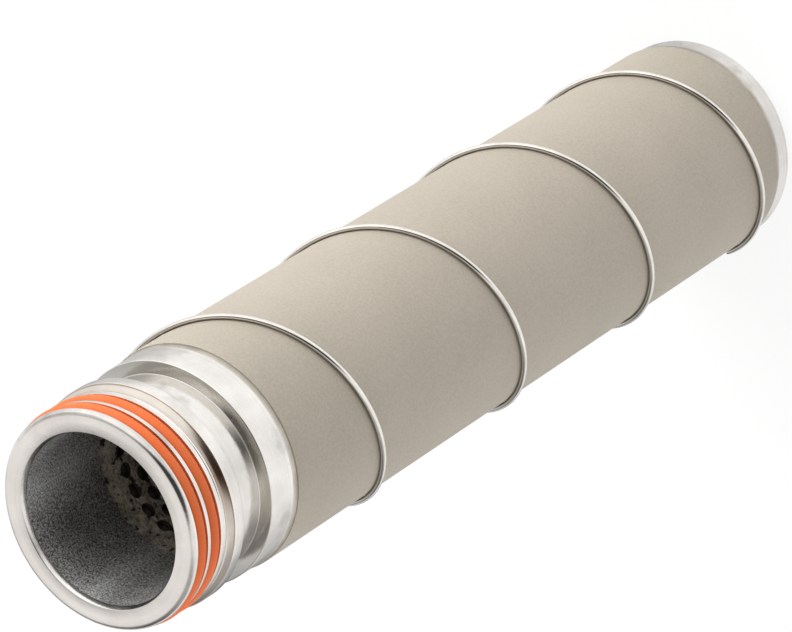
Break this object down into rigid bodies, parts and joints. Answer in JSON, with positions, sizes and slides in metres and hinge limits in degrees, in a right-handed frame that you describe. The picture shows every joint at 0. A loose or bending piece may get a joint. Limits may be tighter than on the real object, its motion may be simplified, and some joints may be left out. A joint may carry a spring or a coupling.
{
  "type": "oil filter cartridge",
  "caption": "Reusable steel mesh oil filter cartridge: a wire-wound mesh cylinder with a closed cap at one end and an open spigot with seal rings at the other.",
  "frame": {"origin": "centre of the end cap's outer face, on which the cartridge stands", "axes": "+Z along the cartridge's axis towards the open spigot; the picture looks along +Y"},
  "size_m": [0.063, 0.063, 0.275],
  "materials": {
    "turned_steel": "bright turned stainless steel",
    "seal_rubber": "orange rubber with a soft shine",
    "core_steel": "plain rolled and perforated sheet",
    "coarse_mesh": "coarse woven wire",
    "sintered_mesh": "matte sintered fine wire mesh",
    "guard_wire": "drawn wire with a soft shine"
  },
  "bodies": {
    "root": {"spigot_fitting": "turned_steel", "end_cap": "turned_steel", "upper_seal_ring": "seal_rubber", "lower_seal_ring": "seal_rubber", "core_tube": "core_steel", "drainage_mesh": "coarse_mesh", "filter_sleeve": "sintered_mesh", "spiral_wire": "guard_wire"}
  },
  "joints": []
}
